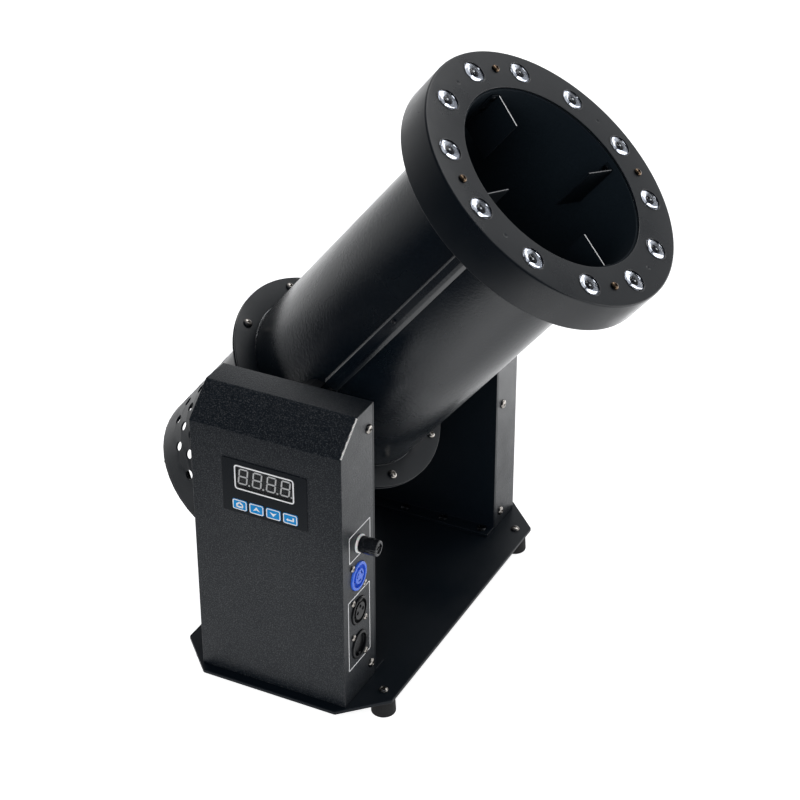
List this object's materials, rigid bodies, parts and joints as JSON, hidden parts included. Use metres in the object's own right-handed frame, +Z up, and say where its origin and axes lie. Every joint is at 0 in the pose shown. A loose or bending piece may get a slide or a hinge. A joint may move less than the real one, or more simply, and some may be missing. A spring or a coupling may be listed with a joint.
{
  "type": "confetti blower",
  "caption": "Tilting barrel blower on a two-arm stand, with a lamp ring round its mouth, a perforated fan drum and a control box with display, keys and sockets.",
  "frame": {"origin": "under the middle of the overall box, at the bottom of the feet", "axes": "+X the way the barrel fires, +Y along the tilt axis from the control box to the far arm, +Z up"},
  "size_m": [0.4198, 0.332, 0.4935],
  "materials": {
    "powder_coat": "fine textured satin black",
    "satin_paint": "smooth satin black",
    "zinc_steel": "bright zinc",
    "brass_screw": "dull",
    "rubber": "matte",
    "black_plastic": "satin",
    "connector_blue": "glossy",
    "key_blue": "satin",
    "panel_film": "glossy film",
    "smoked_window": "smoked, clear",
    "display_plastic": "satin",
    "nylon": "satin",
    "circuit_board": "solder mask",
    "lamp_board_white": "white solder mask",
    "aluminium": "satin",
    "clear_lens": "clear",
    "fuse_glass": "clear",
    "fan_plastic": "satin"
  },
  "bodies": {
    "stand": {"base_plate": "powder_coat", "foot_rear_near": "rubber", "foot_front_near": "rubber", "foot_front_far": "rubber", "foot_rear_far": "rubber", "near_arm": "powder_coat", "far_arm": "powder_coat", "control_box_cover": "powder_coat", "far_arm_cover": "powder_coat", "panel_film": "panel_film", "display_window": "smoked_window", "display_module": "display_plastic", "control_board": "circuit_board", "fuse_holder": "black_plastic", "fuse_washer": "nylon", "fuse_link": "fuse_glass", "power_inlet": "connector_blue", "data_outlet": "black_plastic", "data_inlet": "black_plastic", "driver_board": "circuit_board", "power_supply": "aluminium", "near_inner_washer": "nylon", "near_outer_washer": "nylon", "far_inner_washer": "nylon", "far_outer_washer": "nylon"},
    "barrel": {"near_pivot_boss": "powder_coat", "far_pivot_boss": "powder_coat", "near_pivot_sleeve": "zinc_steel", "near_pivot_nut": "zinc_steel", "far_pivot_bolt": "zinc_steel", "launch_tube": "satin_paint", "tube_flange": "powder_coat", "fan_drum": "powder_coat", "fin_1": "powder_coat", "fin_2": "powder_coat", "fin_3": "powder_coat", "fin_4": "powder_coat", "lamp_ring_cover": "satin_paint", "lamp_ring_back": "powder_coat", "lamp_board": "lamp_board_white", "lens_plate": "clear_lens", "ring_screw_1": "brass_screw", "ring_screw_2": "brass_screw", "ring_screw_3": "brass_screw", "ring_screw_4": "brass_screw", "cable_channel": "satin_paint", "lamp_cable": "black_plastic", "confetti_screen": "zinc_steel", "motor_bracket": "zinc_steel", "fan_motor": "aluminium", "rear_guard": "powder_coat"},
    "fan": {"motor_shaft": "zinc_steel", "fan_impeller": "fan_plastic", "fan_nut": "zinc_steel"},
    "menu_key": {"menu_key": "key_blue"},
    "up_key": {"up_key": "key_blue"},
    "down_key": {"down_key": "key_blue"},
    "enter_key": {"enter_key": "key_blue"},
    "fuse_cap": {"fuse_cap": "black_plastic"}
  },
  "joints": [
    {"name": "barrel_tilt", "type": "hinge", "parent": "stand", "child": "barrel", "pos_m": [-0.0305, 0.0047, 0.23528], "axis": [0, 1, 0], "range_deg": [-39.4, 50.6]},
    {"name": "fan_spin", "type": "hinge", "parent": "barrel", "child": "fan", "pos_m": [-0.0305, 0.0047, 0.23528], "axis": [0.6347, 0, 0.7727], "continuous": true},
    {"name": "menu_key_press", "type": "slide", "parent": "stand", "child": "menu_key", "axis": [0, 1, 0], "range_m": [0, 0.0006], "stiffness_N_per_m": 800},
    {"name": "up_key_press", "type": "slide", "parent": "stand", "child": "up_key", "axis": [0, 1, 0], "range_m": [0, 0.0006], "stiffness_N_per_m": 800},
    {"name": "down_key_press", "type": "slide", "parent": "stand", "child": "down_key", "axis": [0, 1, 0], "range_m": [0, 0.0006], "stiffness_N_per_m": 800},
    {"name": "enter_key_press", "type": "slide", "parent": "stand", "child": "enter_key", "axis": [0, 1, 0], "range_m": [0, 0.0006], "stiffness_N_per_m": 800},
    {"name": "fuse_cap_twist", "type": "hinge", "parent": "stand", "child": "fuse_cap", "pos_m": [0.0335, -0.1318, 0.1583], "axis": [1, 0, 0], "range_deg": [0, 60]}
  ]
}
